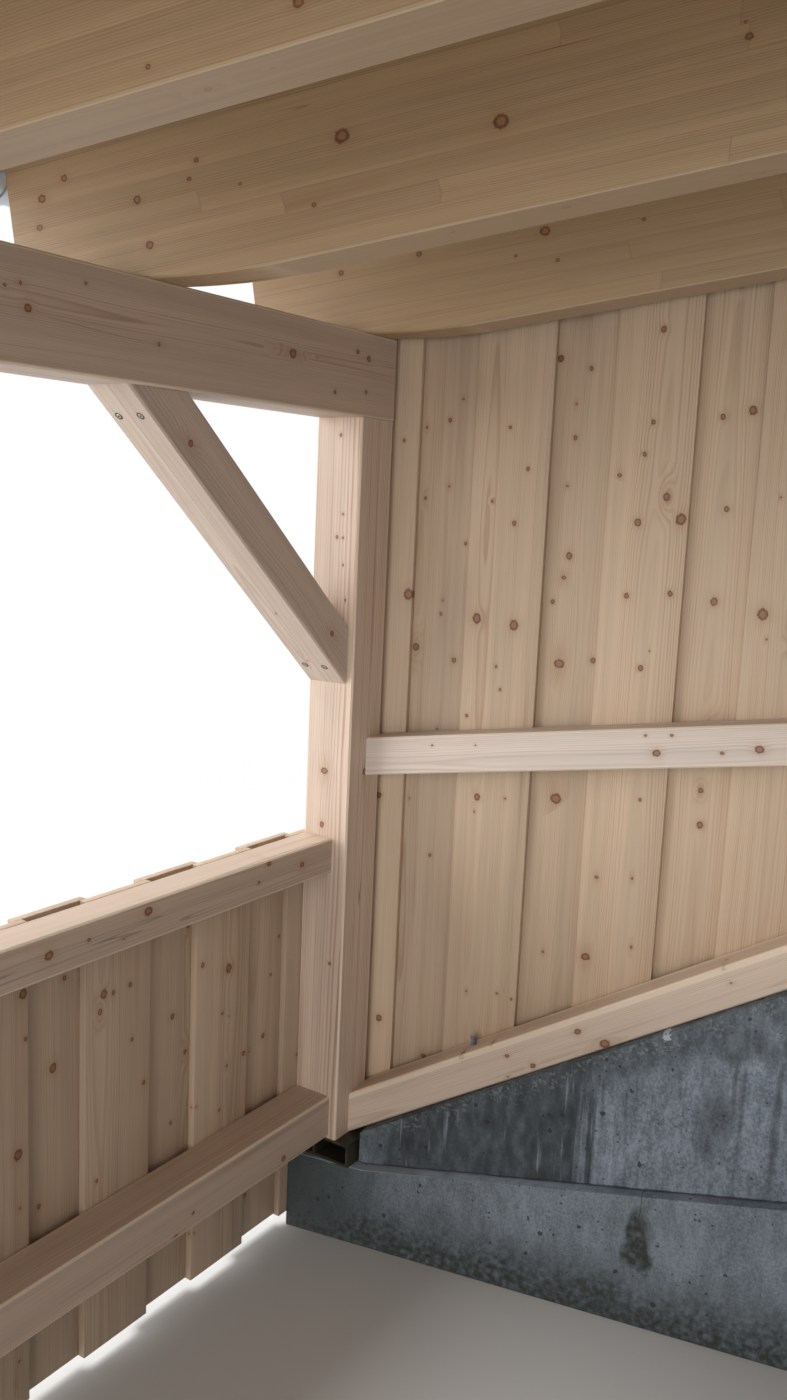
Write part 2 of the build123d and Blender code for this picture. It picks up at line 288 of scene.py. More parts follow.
def makeSpruceGroup():
    tree = bpy.data.node_groups.new("spruceGrain", "ShaderNodeTree")
    bench["tree"] = tree
    for name, kind in spruceInputs.items():
        tree.interface.new_socket(name, in_out="INPUT", socket_type="NodeSocket" + kind)
    for name, kind in (("Colour", "Color"), ("Height", "Float"), ("Gloss", "Float")):
        tree.interface.new_socket(name, in_out="OUTPUT", socket_type="NodeSocket" + kind)
    given = wiresFrom("NodeGroupInput")
    place, seed = given["Place"], given["Seed"]
    _, y, z = split(place)
    moved = vectorCalc("ADD", place, combine(seed * 3.7, seed, 0.0))

    swayNoise = noiseAt(moved, (0.6, 2.4, 2.4), 2, "Color")
    sway = split(vectorCalc("SUBTRACT", swayNoise, (0.5, 0.5, 0.5)))
    yPith = scaled(sway[0], spruce["sway"], y)
    zPith = scaled(sway[1], spruce["sway"], z)
    radius = lengthOf(yPith, zPith)
    angle = calc("ARCTAN2", yPith, zPith)

    # Knots, one chance to a cell along the trunk and round it
    cellX = split(moved)[0] / spruce["knotPitch"]
    cell = combine(cellX, angle / spruce["knotAngle"], 0.0)
    knots = wiresFrom("ShaderNodeTexVoronoi", {"Vector": cell, "Scale": 1}, voronoi_dimensions="2D")
    chance = split(knots["Color"])
    big = scaled(chance[0] ** 3.0, spruce["knotSpread"], spruce["knotLeast"])
    knotRadius = big * given["Knot Size"]
    present = calc("LESS_THAN", chance[1], given["Knot Share"])
    placed = given["Placed Knot"]  # how far the nearest listed knot is, in knot radii
    off = split(vectorCalc("SUBTRACT", cell, knots["Position"]))
    alongOff = off[0] * spruce["knotPitch"] / knotRadius
    roundOff = off[1] * spruce["knotAngle"] * radius / knotRadius
    ratio = lengthOf(alongOff * spruce["knotOval"], roundOff)
    swerve = lengthOf(alongOff * 0.17, roundOff * 0.42)
    halo = calc("EXPONENT", swerve ** 2.0 * -1.0) * present
    placedHalo = calc("EXPONENT", placed ** 2.0 * -0.22)
    pushed = most(halo * knotRadius, placedHalo * 0.002)
    halo = most(halo, placedHalo)
    ratio = least(ratio + (1 - present) * farOff, placed)
    ratio = ratio * scaled(noiseAt(moved, (160, 160, 160), 2), 0.7, 0.65)

    # Rings, pushed aside by the knots
    fine = noiseAt(moved, (1.6, 38, 38), 2)
    rings = radius / given["Ring Pitch"]
    push = pushed / given["Ring Pitch"]
    rings = scaled(push, 1.3, rings) + fine * 0.9
    part = calc("FRACT", rings)
    late = smooth(part, 0.3, 0.85) - smooth(part, 0.88, 1.0)
    ringChance = randomOf(calc("FLOOR", rings) + seed)
    band = smooth(noiseAt(combine(rings * 0.24, seed, 0.0), None, 1), 0.38, 0.68)
    line = late * scaled(ringChance[0], 0.6, 0.4) * scaled(band, 0.6, 0.4)

    # Colour, from the rings out to pores, streaks, knots and cracks
    fibre = noiseAt(moved, spruce["fibre"], 2)
    streak = noiseAt(moved, spruce["streaks"], 3)
    pores = (fibre - 0.5) * 0.7
    colour = mix(line * 0.85 + pores, given["Pale"], given["Late"])
    redStreak = smooth(noiseAt(moved, (0.9, 34, 34), 3), 0.56, 0.74)
    redStreak = redStreak * smooth(noiseAt(moved, (0.5, 5, 5), 1), 0.45, 0.62) * 0.55
    colour = mix(redStreak, colour, mix(0.5, given["Late"], spruce["redTone"]))
    colour = shaded(colour, grey(scaled(streak, 0.5, 0.75)))
    colour = mix(halo * 0.35, colour, spruce["haloTone"])
    heart = ramp(ratio, spruce["heart"])
    colour = mix(1 - smooth(ratio, 0.85, 1.25), colour, heart)
    crackLine = abs(noiseAt(moved, (0.8, 30, 30), 1) - 0.5)
    crackWhere = smooth(noiseAt(moved, (1.1, 7, 7), 1), 0.6, 0.68)
    crack = (1 - smooth(crackLine, 0.002, 0.009)) * crackWhere * given["Cracks"]
    colour = mix(crack, colour, spruce["crackTone"])
    height = fibre - crack * 2.0
    addNode("NodeGroupOutput", {"Colour": colour, "Height": height, "Gloss": scaled(streak, 0.25, 0.42)})
    return tree


spruceGroup = makeSpruceGroup()

# Colours of the timbers, from the pale wood between the rings to the late wood in them
timberTones = {
    "post": ((0.63, 0.495, 0.395), (0.37, 0.175, 0.1)),
    "plate": ((0.5, 0.385, 0.3), (0.36, 0.235, 0.165)),
    "rail": ((0.655, 0.563, 0.492), (0.47, 0.34, 0.26)),
    "lowRail": ((0.6, 0.475, 0.375), (0.43, 0.285, 0.195)),
    "brace": ((0.555, 0.449, 0.372), (0.35, 0.22, 0.157)),
    "rafter": ((0.45, 0.312, 0.181), (0.31, 0.183, 0.092)),
    "board": ((0.57, 0.428, 0.305), (0.41, 0.255, 0.16)),
    # painted shade: the same boards as the side wall, toned darker for the shade on the front wall
    "streetBoardShaded": ((0.5, 0.372, 0.27), (0.36, 0.225, 0.145)),
    "deck": ((0.55, 0.41, 0.28), (0.38, 0.24, 0.145)),
}
wildKnots = {"timber": 0.4, "board": 0.45}  # share of the cells that hold a knot
fewKnots = {"timber": 0.12, "board": 0.22, "rafter": 0.16}  # the same where knots are listed


def nearestSpot(place, spots):
    # distance from the nearest spot; spots are (middle, stretch that makes it a ball of radius 1)
    nearest = farOff
    for centre, factors in spots:
        off = stretch(vectorCalc("SUBTRACT", place, centre), factors)
        nearest = least(vectorCalc("LENGTH", off), nearest)
    return nearest


def nearestKnot(place, knots, face):
    # knots are (along, up, radius) on the face of the timber at y = face
    oval, reach = spruce["knotOval"], spruce["knotReach"]
    return nearestSpot(place, [
        ((along, face, up), (oval / radius, 1 / reach, 1 / radius)) for along, up, radius in knots])


def countersinkShade(place, screws):
    # painted shade: dark rings in the countersinks round screws at (along, across, radius), on the face
    # at z = 0
    nearest = nearestSpot(place, [
        ((along, across, 0.0), (1 / radius, 1 / radius, 20)) for along, across, radius in screws])
    return 1 - smooth(nearest, 1.45, 1.7)


def finishSpruce(shader, place, seed, tone, *more):
    # more is what the group takes after its two tones
    values = zip(spruceInputs, (place, seed, *timberTones[tone], *more))
    grain = wiresFrom("ShaderNodeGroup", dict(values), node_tree=spruceGroup)
    addRelief(shader, grain["Height"], spruce["relief"], spruce["reliefDepth"])
    feed(shader.inputs["Roughness"], grain["Gloss"])
    return grain["Colour"]


def timberMaterial(
        name, centre, along, up, seed, tone, pith=(0.05, 0.03), cracks=0.4, half=None, knots=(),
        face=-0.07, ring=spruce["timberRing"], glued=None, screws=()):
    material, shader = newMaterial(name)
    local = localPlace(centre, along, up)
    place = vectorCalc("ADD", local, (0, *pith))
    if glued is not None:  # two halves, glued where y is this
        y = split(local)[1]
        second = calc("GREATER_THAN", y, glued)
        place = vectorCalc("ADD", place, stretch(grey(second), (0.71, 0.045, -0.05)))
    placed = nearestKnot(local, knots, face)
    share = (fewKnots if knots else wildKnots)["timber"]
    colour = finishSpruce(shader, place, seed, tone, ring, 1.0, cracks, share, placed)
    if glued is not None:
        line = 1 - smooth(abs(y - glued), 0.0004, 0.0013)
        colour = mix(line * 0.55, colour, spruce["glueTone"])
    # painted shade in the countersinks round the screw heads
    if screws:
        colour = mix(countersinkShade(local, screws), colour, spruce["countersinkShadeTone"])
    # painted highlight: the eased edges are drawn paler, where they catch the light
    if half:  # eased edges catch the light
        _, y, z = split(vectorCalc("ABSOLUTE", local))
        edge = smooth(y - half[0] + (z - half[1]), -0.0075, -0.004)
        colour = mix(edge * 0.55, colour, spruce["edgeHighlightTone"])
    feed(shader.inputs["Base Color"], colour)
    return material


def boardMaterial(name, start, along, out, pitch, seed, tone, knotSize=1.0, knots=()):
    # Each board's place along the wall gives it its own log, so that no two look alike
    material, shader = newMaterial(name)
    local = split(localPlace(start, along, out))
    count = calc("FLOOR", local[0] / pitch)
    chance = randomOf(count + seed)
    within = local[0] - count * pitch + scaled(chance[1], 0.18, -0.19)
    depth = local[2] + scaled(chance[2], 0.1, 0.035)
    place = combine(local[1] + chance[0] * 9.0, within, depth)
    upSign = math.copysign(1, out.cross(along).z)
    placed = nearestKnot(combine(local[1] * upSign, 0.0, local[0]), knots, 0.0)
    share = (fewKnots if knots else wildKnots)["board"]
    log = chance[0] * 7.0
    colour = finishSpruce(shader, place, log, tone, spruce["boardRing"], knotSize, 0.15, share, placed)
    tint = scaled(chance[2], 0.14, 0.92)
    feed(shader.inputs["Base Color"], shaded(colour, combine(tint, tint, tint * 0.985)))
    return material


rafterForm = {"across": 0.11, "underAtCorner": 2.1254}
glulam = {
    "lamella": 0.04125,
    "stave": 1.7,
    "finger": 0.0062,
    "fingerLength": 0.018,
    "glueLine": (0.0011, 0.0004),  # how far from a joint its dark line begins, and is full
    "endLine": (0.0012, 0.0004),
    "seamTone": (0.22, 0.12, 0.065),
    # painted light on the rafters' underside
    "underLightTone": (0.56, 0.45, 0.335),
}
rafterKnots = {  # along the rafter from the corner, up from its underside, radius
    "rafter_3": ((0.851, 0.044, 0.006), (0.64, 0.024, 0.003), (1.32, 0.15, 0.009)),
    "rafter_4": (
        (0.427, 0.195, 0.0115), (0.725, 0.152, 0.0115), (0.122, 0.219, 0.0045), (0.102, 0.189, 0.004),
        (-0.019, 0.175, 0.007), (-0.183, 0.251, 0.006), (-0.242, 0.223, 0.0075), (-0.256, 0.169, 0.006),
        (0.358, 0.088, 0.004), (-0.002, 0.086, 0.007), (0.21, 0.157, 0.003), (1.139, 0.186, 0.005)),
    "rafter_5": (
        (0.452, 0.181, 0.01), (0.136, 0.189, 0.006), (-0.074, 0.183, 0.006), (0.68, 0.162, 0.004),
        (0.377, 0.139, 0.003), (0.476, 0.111, 0.004)),
}


def rafterMaterial(name, centre, seed, knots):
    material, shader = newMaterial(name)
    flat = localPlace(centre, rafterAlong, roofUp)
    local = split(flat)
    lamella = glulam["lamella"]
    layer = calc("FLOOR", local[2] / lamella)
    layerChance = randomOf(layer + seed * 31)
    finger = calc("PINGPONG", local[1] / glulam["finger"], 0.5)
    run = scaled(finger, glulam["fingerLength"] * 2, local[0]) + layerChance[0] * 5.0
    stave = run / glulam["stave"]
    chance = randomOf(layer * 7.0 + (calc("FLOOR", stave) + seed * 13))
    x = local[0] + chance[0] * 4.0
    y = local[1] + scaled(chance[1], 0.07, -0.035)
    within = local[2] - layer * lamella
    z = within + scaled(chance[2], 0.08, 0.03)
    placed = nearestKnot(flat, knots, -rafterForm["across"] / 2)
    place = combine(x, y, z)
    colour = finishSpruce(
        shader, place, seed, "rafter", spruce["rafterRing"], 1.0, 0.8, fewKnots["rafter"], placed)
    colour = shaded(colour, grey(scaled(chance[1], 0.12, 0.93)))
    # painted light: the underside is made paler, as if lit from below by the floor
    underLight = (1 - smooth(local[2], 0.001, 0.0035)) * 0.5
    colour = mix(underLight, colour, glulam["underLightTone"])
    glue = smooth(abs(within - lamella / 2), *[lamella / 2 - reach for reach in glulam["glueLine"]])
    end = smooth(abs(calc("FRACT", stave) - 0.5), *[0.5 - reach for reach in glulam["endLine"]])
    colour = mix(most(glue, end) * 0.3, colour, glulam["seamTone"])
    feed(shader.inputs["Base Color"], colour)
    return material


print("wood ready")


# Concrete: two pours with pits, drip streaks below the top and dark growth near the foot
concrete = {
    "upperTone": ((0.092, 0.112, 0.134), (0.3, 0.352, 0.41)),
    "lowerTone": ((0.1, 0.12, 0.141), (0.252, 0.294, 0.34)),
    "slopeStart": 0.122,
    "slopeRun": 1.6,
    "slope": math.tan(lowPitch),
    "darkPatches": (  # along the wall, height, two half sizes, strength
        (0.71, 0.2, 0.085, 0.2, 0.85),
        (1.1, 0.31, 0.045, 0.1, 0.5),
        (1.1, 0.5, 0.24, 0.055, 0.62),
    ),
    "darkRun": (0.1, 0.3, 0.77, 0.83),  # where it begins, is full, begins to end, has ended
    "innerFace": (-0.115, -0.085),
    "paleStone": (0.975, 0.48, 0.01, 0.012),
    "blotch": (0.948, -0.075, 0.038, 0.08),
    "jointStart": 0.1936,
    "jointLow": -0.065,
    "jointSlope": 0.16917,
    "crack": (0.95, -0.035),  # along the wall, height of its low end
    "pits": ((30, 5.0, 0.2), (72, 5.0, 0.25)),  # cells to the metre, rarity, size in a cell
    "stainTone": (0.03, 0.036, 0.04),
    "paleTone": (0.36, 0.42, 0.48),
    "crumbTone": (0.28, 0.3, 0.27),
    "stoneTone": (0.36, 0.4, 0.46),
    # painted highlight on the ledge's top
    "jointTone": (0.016, 0.018, 0.02),
    "mossTone": (0.03, 0.036, 0.031),
    "ledgeHighlightTone": (0.42, 0.5, 0.58),
    "crackTone": (0.02, 0.023, 0.025),
    "pitTone": (0.018, 0.02, 0.023),
    "relief": 0.6,
    "reliefDepth": 0.003,
}
slopeEnd = concrete["slopeStart"] + concrete["slopeRun"]


def spotAt(u, z, spot, ragged):
    # 1 inside an upright oval at u, z with its two half sizes, fading out past its ragged edge
    uSpot, zSpot, uHalf, zHalf = spot
    reach = lengthOf((u - uSpot) / uHalf, (z - zSpot) / zHalf) + ragged
    return 1 - smooth(reach, 0.6, 1.35)


def jointHeight(u):
    past = least(most(u - concrete["jointStart"], 0.0), slopeEnd - concrete["jointStart"])
    return scaled(past, concrete["jointSlope"], concrete["jointLow"])


def pitsAt(place, grit, scale, rarity, size):
    # 1 inside air holes, one chance of a hole to a cell of the scale
    cells = wiresFrom("ShaderNodeTexVoronoi", {"Vector": place, "Scale": scale})
    holeSize = split(cells["Color"])[0] ** rarity * size
    ragged = cells["Distance"] + scaled(grit, 0.3, -0.15)
    return calc("LESS_THAN", ragged, holeSize)


def concreteMaterial(name, tones, upper):
    material, shader = newMaterial(name)
    place = localPlace(wallStart, wallAlong, upward)
    u, out, z = split(place)
    clouds = noiseAt(place, (4, 4, 2.6), 6)
    mottle = noiseAt(place, (40, 40, 18), 6)
    grit = noiseAt(place, (170, 170, 140), 3)
    inside = 1 - smooth(out, *concrete["innerFace"])
    ragged = scaled(noiseAt(place, (13, 13, 7), 5), 2.4, -1.2)
    body = smooth(clouds, 0.34, 0.68) * 0.34 + smooth(mottle, 0.34, 0.68) * 0.34
    colour = mix(body + smooth(grit, 0.34, 0.66) * 0.38, *tones)
    if upper:
        drips = noiseAt(place, (38, 38, 2.0), 4)
        rise = least(most(u - concrete["slopeStart"], 0.0), concrete["slopeRun"])
        drop = rise * concrete["slope"] - z
        uneven = ragged * 0.07
        topDark = 1 - smooth(drop + uneven, 0.01, 0.17)
        streaks = smooth(drips, 0.5, 0.72) * (1 - smooth(drop, 0.16, 0.85))
        stain = most(topDark * 0.72, streaks * 0.75)
        begin, full, ending, ended = concrete["darkRun"]
        run = smooth(u, begin, full) - smooth(u + (drips - 0.5) * 0.22, ending, ended)
        inner = run * scaled(clouds, 0.5, 0.62)
        for *patch, strength in concrete["darkPatches"]:
            inner = most(inner, spotAt(u, z, patch, ragged) * strength)
        stain = most(stain, inner * inside)
        colour = mix(stain * scaled(mottle, -0.7, 1.27), colour, concrete["stainTone"])
        pale = smooth(noiseAt(place, (85, 85, 5), 3), 0.6, 0.74) * smooth(clouds, 0.42, 0.6)
        colour = mix(pale * 0.4, colour, concrete["paleTone"])
        crumbs = smooth(noiseAt(place, (110, 110, 130), 5), 0.52, 0.66)
        nearTop = 1 - smooth(drop + uneven, 0.012, 0.06)
        colour = mix(crumbs * nearTop * 0.42, colour, concrete["crumbTone"])
        stone = spotAt(u, z, concrete["paleStone"], scaled(grit, 2.4, -1.2))
        colour = mix(smooth(stone, 0.2, 0.6) * inside, colour, concrete["stoneTone"])
        overJoint = z - jointHeight(u) + scaled(mottle, 0.006, -0.003)
        line = 1 - smooth(overJoint, 0.003, 0.0075)
        colour = mix(line * 0.85, colour, concrete["jointTone"])
    else:
        uneven = ragged * 0.045
        speckle = scaled(noiseAt(place, (60, 60, 60), 4), 1.6, 0.06)
        moss = (1 - smooth(z + corner.z + uneven, 0.02, 0.22)) * speckle
        blotch = spotAt(u, z, concrete["blotch"], ragged * 1.6) * speckle
        # darker towards the wall's start by the post, on the inner face
        nearPostDark = 1 - smooth(u + uneven, 0.04, 0.42)
        moss = most(most(moss, blotch * inside), nearPostDark * 0.85 * inside)
        colour = mix(moss, colour, concrete["mossTone"])
        # painted highlight: the top of the ledge is lighter, as lit from above, fading away from the
        # open side
        ledgeHighlight = smooth(z - jointHeight(u), -0.0022, -0.0008) * (1 - smooth(u, 0.15, 0.9))
        colour = mix(ledgeHighlight * 0.7, colour, concrete["ledgeHighlightTone"])
        uCrack, zLow = concrete["crack"]
        wander = scaled(noiseAt(place, (3, 3, 40), 3), 0.012, -0.006)
        crack = 1 - smooth(abs(u + wander - uCrack), 0.0004, 0.0014)
        crack = crack * inside * smooth(z, zLow, zLow + 0.02)
        colour = mix(crack * 0.85, colour, concrete["crackTone"])
    pit = most(*[pitsAt(place, grit, *kind) for kind in concrete["pits"]])
    feed(shader.inputs["Base Color"], mix(pit * 0.8, colour, concrete["pitTone"]))
    addRelief(shader, mottle * 0.6 + grit * 0.5 - pit, concrete["relief"], concrete["reliefDepth"])
    feed(shader.inputs["Roughness"], scaled(clouds, 0.25, 0.7))
    return material


# Metals: two tones, how metallic, roughness from and to, and the stretch of the patches
metalLooks = {
    "shoeSteel": ((0.018, 0.02, 0.013), (0.055, 0.04, 0.022), 0.25, (0.35, 0.7), (14, 14, 14)),
    "zinc": ((0.42, 0.45, 0.48), (0.56, 0.59, 0.62), 0.85, (0.28, 0.5), (5, 18, 18)),
    "sheetPaint": ((0.085, 0.095, 0.105), (0.115, 0.125, 0.135), 0.0, (0.55, 0.75), (1.2, 3, 3)),
    "clipSteel": ((0.16, 0.16, 0.17), (0.34, 0.34, 0.36), 0.7, (0.35, 0.6), (80, 80, 80)),
    "screwSteel": ((0.3, 0.28, 0.19), (0.48, 0.45, 0.32), 0.8, (0.35, 0.5), (260, 260, 260)),
}


def metalMaterial(name, first, second, metallic, rough, factors):
    material, shader = newMaterial(name)
    place = objectPlace()
    patch = noiseAt(place, factors, 4)
    spots = noiseAt(place, (160, 160, 160), 2)
    low, high = rough
    feedAll(shader, {
        "Base Color": mix(smooth(patch, 0.35, 0.65), first, second),
        "Metallic": metallic,
        "Roughness": scaled(patch, high - low, low),
    })
    addRelief(shader, spots, 0.15, 0.001)
    return material


metals = {name: metalMaterial(name, *look) for name, look in metalLooks.items()}
print("concrete and metal ready")


# Finishes for the CAD nodes that stay
def coat(piece, material):
    piece.data.materials.clear()
    piece.data.materials.append(material)


def dress(nodeName, material):
    coat(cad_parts[nodeName], material)


def middle(nodeName):
    low, high = boxOf(nodeName)
    return (low + high) / 2


def dressTimber(nodeName, along, up, seed, tone, **more):
    dress(nodeName, timberMaterial(nodeName + "Wood", middle(nodeName), along, up, seed, tone, **more))


def dressSquare(nodeName, along, up, seed, tone, **more):
    # a timber that lies square in the frame, with a painted highlight along its eased edges
    low, high = boxOf(nodeName)
    half = [abs((high - low).dot(side)) / 2 for side in (up.cross(along), up)]
    dressTimber(nodeName, along, up, seed, tone, half=half, **more)


def knotsOn(nodeName, along, up, spots):
    # spots are (place, radius); the knots are told from the timber's middle
    centre = middle(nodeName)
    offs = [(place - centre, radius) for place, radius in spots]
    return [(off.dot(along), off.dot(up), radius) for off, radius in offs]


def wallSpots(spots):
    return [(wallStart + wallAlong * u + upward * z, radius) for u, z, radius in spots]


def streetSpots(spots):
    return [(corner + Vector((x, 0, z)), radius) for x, z, radius in spots]


postKnots = (
    (0.928, -0.005, 0.004), (0.671, -0.023, 0.003), (0.672, -0.004, 0.004), (0.602, -0.026, 0.003),
    (0.513, -0.037, 0.003), (0.731, -0.021, 0.003), (-0.09, 0.012, 0.0065), (-0.47, -0.03, 0.004))
cornerNames = ("front_right", "front_left", "rear_right", "rear_left")
for seed, name in enumerate(cornerNames):
    dressSquare(
        "post_" + name, upward, streetward, 3.1 + seed, "post", pith=(-0.012, 0.082), cracks=0.7,
        knots=postKnots, ring=0.0064, glued=0.007)
    dress("post_base_" + name, metals["shoeSteel"])
plateKnots = (
    (0.434, -0.001, 0.007), (1.445, 0.051, 0.005), (1.493, 0.04, 0.0065), (1.356, -0.054, 0.0045),
    (1.486, -0.041, 0.0045), (0.568, 0.064, 0.003), (0.384, 0.03, 0.003))
for seed, name, knots in ((11.3, "plate_front", plateKnots), (12.3, "plate_rear", ())):
    dressSquare(name, rightward, upward, seed, "plate", pith=(0.045, -0.02), knots=knots, glued=0.0)
sillKnots = streetSpots((
    (-0.957, 0.807, 0.009), (-0.679, 0.827, 0.01), (-0.263, 0.841, 0.007), (-0.128, 0.807, 0.007),
    (-0.301, 0.801, 0.004), (-0.851, 0.81, 0.004)))
parapetRailKnots = streetSpots(((-0.197, 0.03, 0.007), (-0.541, 0.046, 0.004), (-1.24, 0.07, 0.006)))
for seed, name, pith, spots in (
        (15.2, "parapet_sill", (0.07, 0.02), sillKnots),
        (16.7, "parapet_bottom_rail", (0.05, 0.05), parapetRailKnots)):
    knots = knotsOn(name, rightward, upward, spots)
    dressSquare(name, rightward, upward, seed, "plate", pith=pith, knots=knots, face=-0.0585)

# Braces, and where their screws are, from the foot of each
braceAngle = math.atan2(0.677, 0.778)  # drop over reach
braceFixing = {
    "across": (0.032, 0.094),
    "alongBrace": (0.0706, 0.9445),
    "middle": 0.5156,
    "halfWidth": 0.06,
    "head": 0.006,
}
braceNames = ["brace_" + name for name in cornerNames]


def braceWay(name):
    # which way along the front the brace rises, and its direction up from the foot
    side = -1 if name.endswith("right") else 1
    return side, Vector((side * math.cos(braceAngle), 0, math.sin(braceAngle)))


for seed, name in enumerate(braceNames):
    _, along = braceWay(name)
    # where the painted shade rings round the brace screws go
    countersinkShadeSpots = [
        (reach - braceFixing["middle"], braceFixing["halfWidth"] - across, braceFixing["head"])
        for reach in braceFixing["alongBrace"] for across in braceFixing["across"]]
    up = streetward.cross(along)
    dressTimber(name, along, up, 21.4 + seed, "brace", pith=(0.02, 0.06), glued=0.0, screws=countersinkShadeSpots)


def railAlong(pitch):
    return (wallAlong * math.cos(pitch) + upward * math.sin(pitch)).normalized()


midRailKnots = wallSpots((
    (0.888, 1.168, 0.008), (0.921, 1.215, 0.0035), (0.858, 1.208, 0.003), (1.041, 1.186, 0.004),
    (1.125, 1.205, 0.0085), (0.429, 1.134, 0.002), (0.311, 1.12, 0.0025)))
lowRailKnots = wallSpots((
    (0.748, 0.431, 0.007), (0.442, 0.294, 0.006), (0.567, 0.325, 0.0045), (0.638, 0.314, 0.006),
    (0.519, 0.345, 0.004), (1.09, 0.665, 0.004)))
for seed, name, along, tone, half, spots in (
        (31.5, "side_mid_rail", railAlong(midPitch), "rail", (0.045, 0.05), midRailKnots),
        (33.9, "side_bottom_rail_sloped", railAlong(lowPitch), "lowRail", (0.0525, 0.05), lowRailKnots),
        (35.1, "side_bottom_rail_level", wallAlong, "lowRail", (0.0525, 0.05), [])):
    up = along.cross(wallOut)
    knots = knotsOn(name, along, up, spots)
    dressTimber(name, along, up, seed, tone, pith=(0.09, 0.02), half=half, knots=knots, face=-half[0])
dress("side_top_batten", timberMaterial(
    "battenWood", middle("side_top_batten"), rafterAlong, roofUp, 36.2, "board"))
for seed, name in ((47, "verge_left"), (48, "verge_right")):
    dressTimber(name, rafterAlong, wallOut, seed, "board", pith=(0.04, 0.1))

rafterNames = sorted(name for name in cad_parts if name.startswith("rafter_"))
for number, name in enumerate(rafterNames):
    low, high = boxOf(name)
    centre = Vector((0, corner.y, corner.z + rafterForm["underAtCorner"]))
    centre.x = low.x + rafterForm["across"] / 2 + (high.y - corner.y) * math.tan(skew)
    dress(name, rafterMaterial(name + "Wood", centre, 41 + number * 1.7, rafterKnots.get(name, ())))
dress("gutter_brackets", metals["zinc"])

print("CAD nodes dressed")


# Modelling helpers: everything is deselected first, because the CAD nodes come in selected
def finishPiece(piece, name, material, slotName, *nodeNames):
    piece.name = name
    piece.data.name = name
    coat(piece, material)
    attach(piece, "root")
    if nodeNames:
        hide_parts(*nodeNames)


def onlyPieces(*pieces):
    pickNone()
    for piece in pieces:
        piece.select_set(True)
    bpy.context.view_layer.objects.active = pieces[0]


def settle(*pieces):
    onlyPieces(*pieces)
    bpy.ops.object.transform_apply(location=True, rotation=True, scale=True)


def joined(*pieces):
    onlyPieces(*pieces)
    bpy.ops.object.join()
    return bpy.context.object


def copyOf(mesh, name):
    piece = bpy.data.objects.new(name, mesh.copy())
    bpy.context.scene.collection.objects.link(piece)
    return piece


def startBlock(size):
    pickNone()
    bpy.ops.mesh.primitive_cube_add(size=1)
    piece = bpy.context.object
    piece.scale = size
    settle(piece)
    return piece


def editPiece(piece):
    onlyPieces(piece)
    bpy.ops.object.mode_set(mode="EDIT")


def leaveEdit():
    bpy.ops.object.mode_set(mode="OBJECT")


def pickAll():
    bpy.ops.mesh.select_all(action="SELECT")


def pick(piece, kind, test):
    # selects faces, edges or vertices of the piece in edit mode by a test on each
    bpy.ops.mesh.select_mode(type=kind)
    bpy.ops.mesh.select_all(action="DESELECT")
    mesh = bmesh.from_edit_mesh(piece.data)
    for item in {"FACE": mesh.faces, "EDGE": mesh.edges, "VERT": mesh.verts}[kind]:
        if test(item):
            item.select_set(True)
    mesh.select_flush_mode()
    bmesh.update_edit_mesh(piece.data)


def extrude(*way):
    bpy.ops.mesh.extrude_region_move(TRANSFORM_OT_translate={"value": way})


def mergedCopy(nodeName):
    # a CAD node's mesh is loose triangles, so the copy is welded and its flat faces joined
    piece = copyOf(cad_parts[nodeName].data, nodeName + "Copy")
    editPiece(piece)
    pickAll()
    bpy.ops.mesh.customdata_custom_splitnormals_clear()
    bpy.ops.mesh.remove_doubles(threshold=0.00005)
    bpy.ops.mesh.dissolve_limited(angle_limit=math.radians(0.3))
    bpy.ops.mesh.normals_make_consistent()
    leaveEdit()
    return piece


def smoothPast(degrees):
    bpy.ops.object.shade_smooth_by_angle(angle=math.radians(degrees))


def applyModifier(piece, kind, **settings):
    onlyPieces(piece)
    modifier = piece.modifiers.new(kind.title(), kind)
    for name, value in settings.items():
        setattr(modifier, name, value)
    bpy.ops.object.modifier_apply(modifier=modifier.name)


def bevelled(piece, width):
    applyModifier(
        piece, "BEVEL", width=width, segments=2, limit_method="ANGLE", angle_limit=math.radians(35))
    smoothPast(40)


def arrayed(piece, step, count):
    applyModifier(
        piece, "ARRAY", count=count, use_relative_offset=False, use_constant_offset=True,
        constant_offset_displace=step)


# Cladding: boards with gaps, outer boards over the gaps with a lap, and slightly rounded edges
cladding = {
    "board": 0.2,
    "lap": 0.02,
    "round": 0.0018,
    "streetPitch": 0.357,
    "sidePitch": 0.352,
    "firstScrew": 0.03,
    "lastScrew": 5.05,
}
outerStart = cladding["board"] - cladding["lap"]


def cladWalls(wall, label, along, out, seeds, tone, *knotLists):
    # boards with gaps first, then boards over the gaps, one board less a lap further on
    pitch = cladding[label + "Pitch"]
    for layer, seed, shift, spots in zip(("inner", "outer"), seeds, (0, outerStart), knotLists):
        nodeName = wall + "_" + layer + "_boards"
        name = label + layer.title()
        start = wallStart + along * shift
        knots = [(height, reach - shift, radius) for height, reach, radius in spots]
        material = boardMaterial(name + "Wood", start, along, out, pitch, seed, tone, knots=knots)
        piece = mergedCopy(nodeName)
        bevelled(piece, cladding["round"])
        finishPiece(piece, name + "Boards", material, "boards", nodeName)


